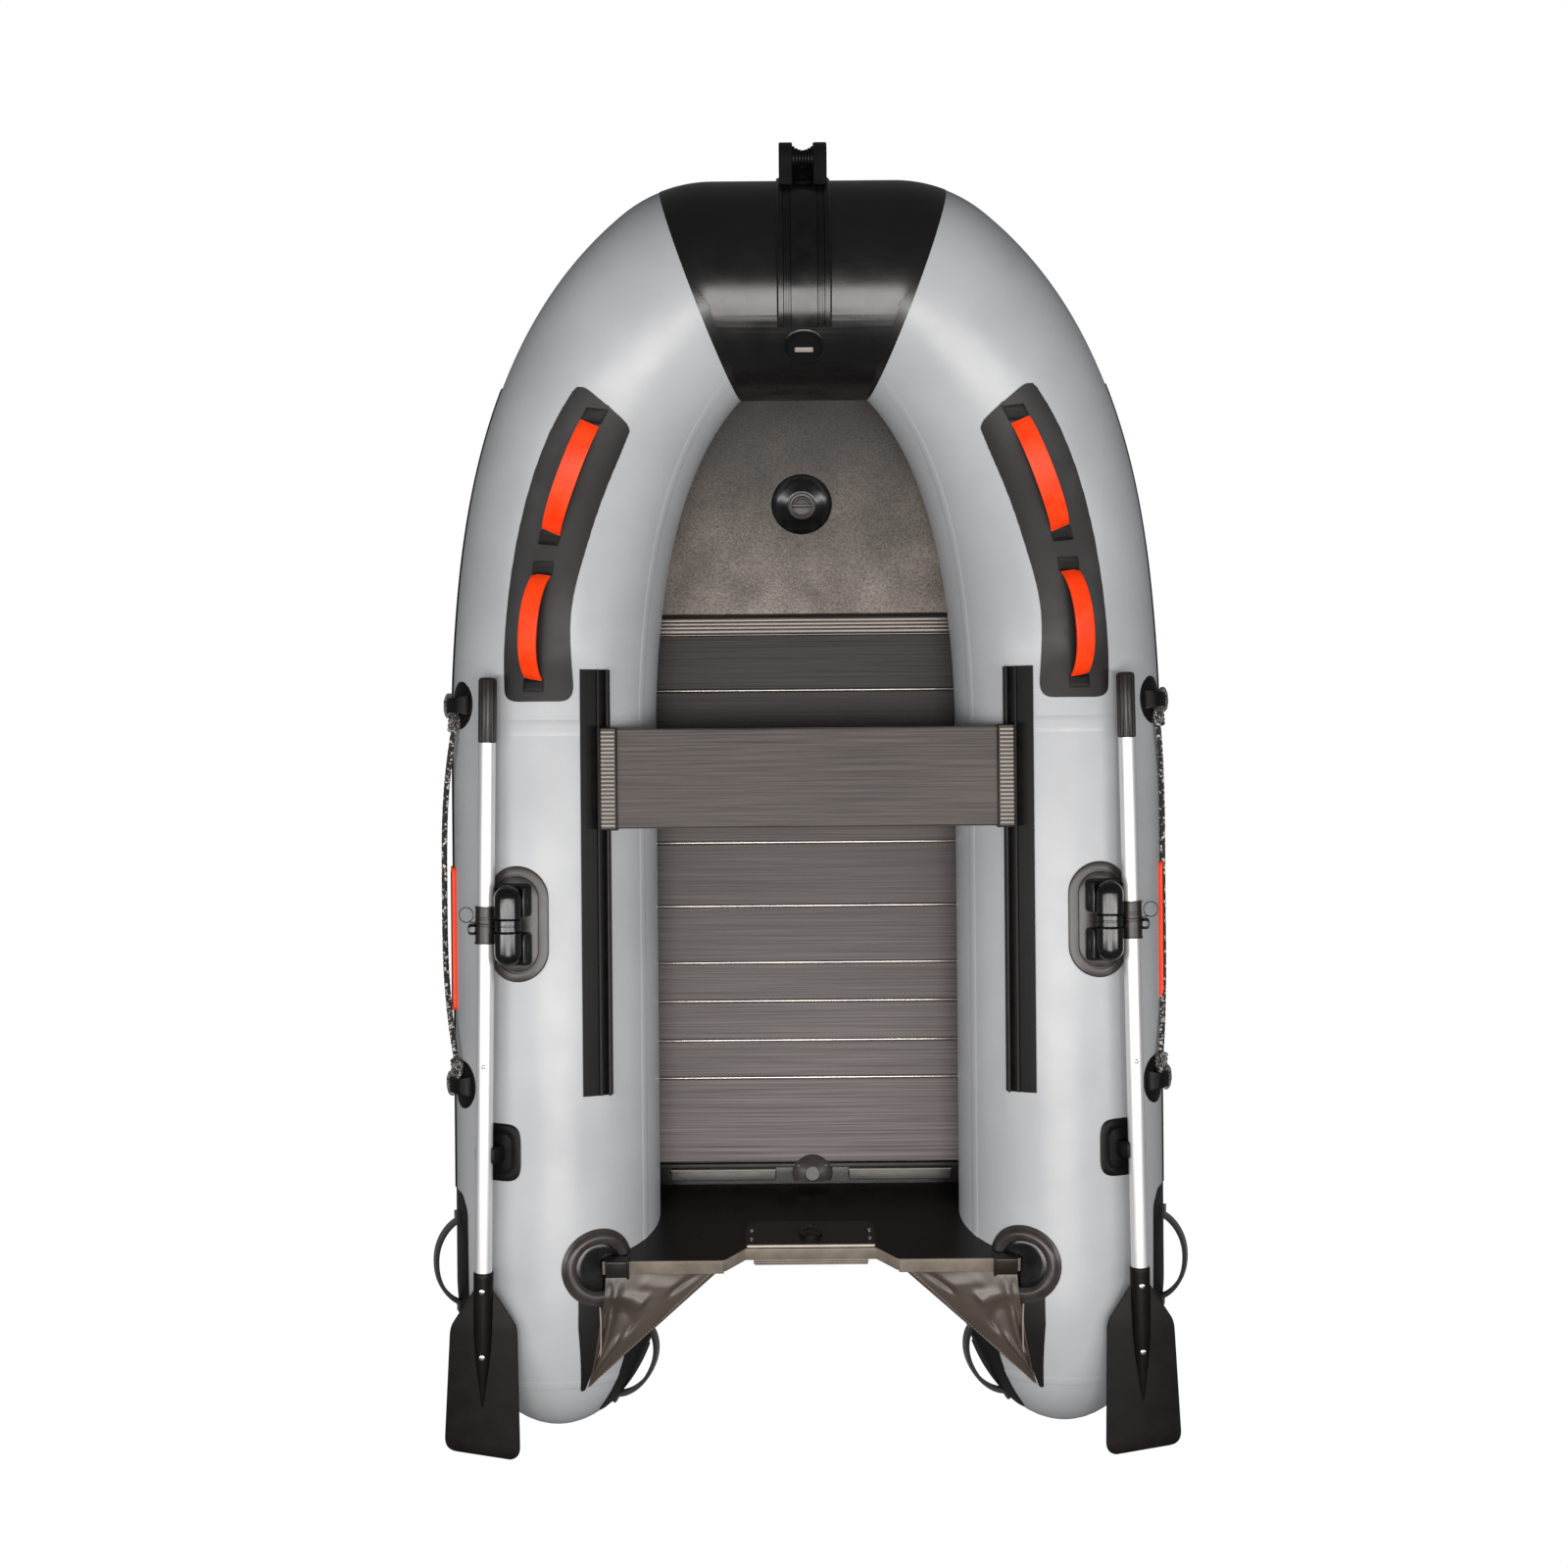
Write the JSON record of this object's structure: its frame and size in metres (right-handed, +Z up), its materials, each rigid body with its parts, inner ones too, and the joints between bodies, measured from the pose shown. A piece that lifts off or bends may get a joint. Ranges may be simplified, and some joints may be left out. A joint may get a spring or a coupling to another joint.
{
  "type": "inflatable dinghy",
  "caption": "Open inflatable dinghy with a raised round bow, slatted floor, sliding bench, upright stern board for a motor, stowed oars, grab lines and a bow anchor roller.",
  "frame": {"origin": "on the surface the boat stands on, midway between its ends and on its centreline", "axes": "+Y to the bow, +X to starboard, +Z up"},
  "size_m": [1.573, 2.6118, 0.63],
  "materials": {
    "grey_fabric": "satin coated fabric",
    "black_fabric": "satin coated fabric",
    "black_rubber": "moulded, satin",
    "orange_rubber": "moulded, satin",
    "slate_board": "resin-faced plywood, brushed grain",
    "black_board": "lacquered plywood",
    "aluminium": "anodised",
    "dark_plastic": "moulded",
    "grey_plastic": "moulded, ribbed",
    "rope": "braided cord"
  },
  "bodies": {
    "hull": {"bow_tube": "black_fabric", "port_side_tube": "grey_fabric", "starboard_side_tube": "grey_fabric", "port_stern_cone": "grey_fabric", "starboard_stern_cone": "grey_fabric", "bottom_skin": "black_fabric", "bow_floorboard": "slate_board", "floor_joint_bar": "aluminium", "floor_slat_01": "slate_board", "floor_slat_02": "slate_board", "floor_slat_03": "slate_board", "floor_slat_04": "slate_board", "floor_slat_05": "slate_board", "floor_slat_06": "slate_board", "floor_slat_07": "slate_board", "floor_slat_08": "slate_board", "floor_slat_09": "slate_board", "floor_slat_10": "slate_board", "transom_board": "black_board", "inner_motor_pad": "dark_plastic", "outer_motor_pad": "grey_plastic", "port_transom_holder": "black_rubber", "starboard_transom_holder": "black_rubber", "port_transom_gusset": "black_fabric", "starboard_transom_gusset": "black_fabric", "port_seat_rail": "black_rubber", "starboard_seat_rail": "black_rubber", "port_oarlock_base": "black_rubber", "starboard_oarlock_base": "black_rubber", "port_oar_clip": "black_rubber", "starboard_oar_clip": "black_rubber", "port_forward_handle": "orange_rubber", "starboard_forward_handle": "orange_rubber", "port_middle_handle": "orange_rubber", "starboard_middle_handle": "orange_rubber", "port_outer_stern_loop": "black_rubber", "starboard_outer_stern_loop": "black_rubber", "port_inner_stern_loop": "black_rubber", "starboard_inner_stern_loop": "black_rubber", "port_forward_rope_holder": "black_rubber", "starboard_forward_rope_holder": "black_rubber", "port_aft_rope_holder": "black_rubber", "starboard_aft_rope_holder": "black_rubber", "port_grab_line": "rope", "starboard_grab_line": "rope", "bow_roller_bracket": "black_rubber"},
    "seat": {"seat_board": "slate_board", "port_seat_cap": "grey_plastic", "starboard_seat_cap": "grey_plastic"},
    "port_oar": {"port_oarlock_ring": "black_rubber", "port_oar_sleeve": "dark_plastic", "port_oar_shaft": "aluminium", "port_oar_grip": "dark_plastic", "port_oar_blade": "dark_plastic"},
    "starboard_oar": {"starboard_oarlock_ring": "black_rubber", "starboard_oar_sleeve": "dark_plastic", "starboard_oar_shaft": "aluminium", "starboard_oar_grip": "dark_plastic", "starboard_oar_blade": "dark_plastic"},
    "anchor_roller": {"bow_roller": "dark_plastic"}
  },
  "joints": [
    {"name": "seat_slide", "type": "slide", "parent": "hull", "child": "seat", "axis": [0, 1, 0], "range_m": [-0.53, 0.11]},
    {"name": "port_oar_lift", "type": "hinge", "parent": "hull", "child": "port_oar", "pos_m": [-0.59929, -0.232, 0.46514], "axis": [0, 1, 0], "range_deg": [0, 120]},
    {"name": "starboard_oar_lift", "type": "hinge", "parent": "hull", "child": "starboard_oar", "pos_m": [0.59929, -0.232, 0.46514], "axis": [0, -1, 0], "range_deg": [0, 120]},
    {"name": "bow_roller_spin", "type": "hinge", "parent": "hull", "child": "anchor_roller", "pos_m": [0, 1.27661, 0.51534], "axis": [1, 0, 0], "continuous": true}
  ]
}
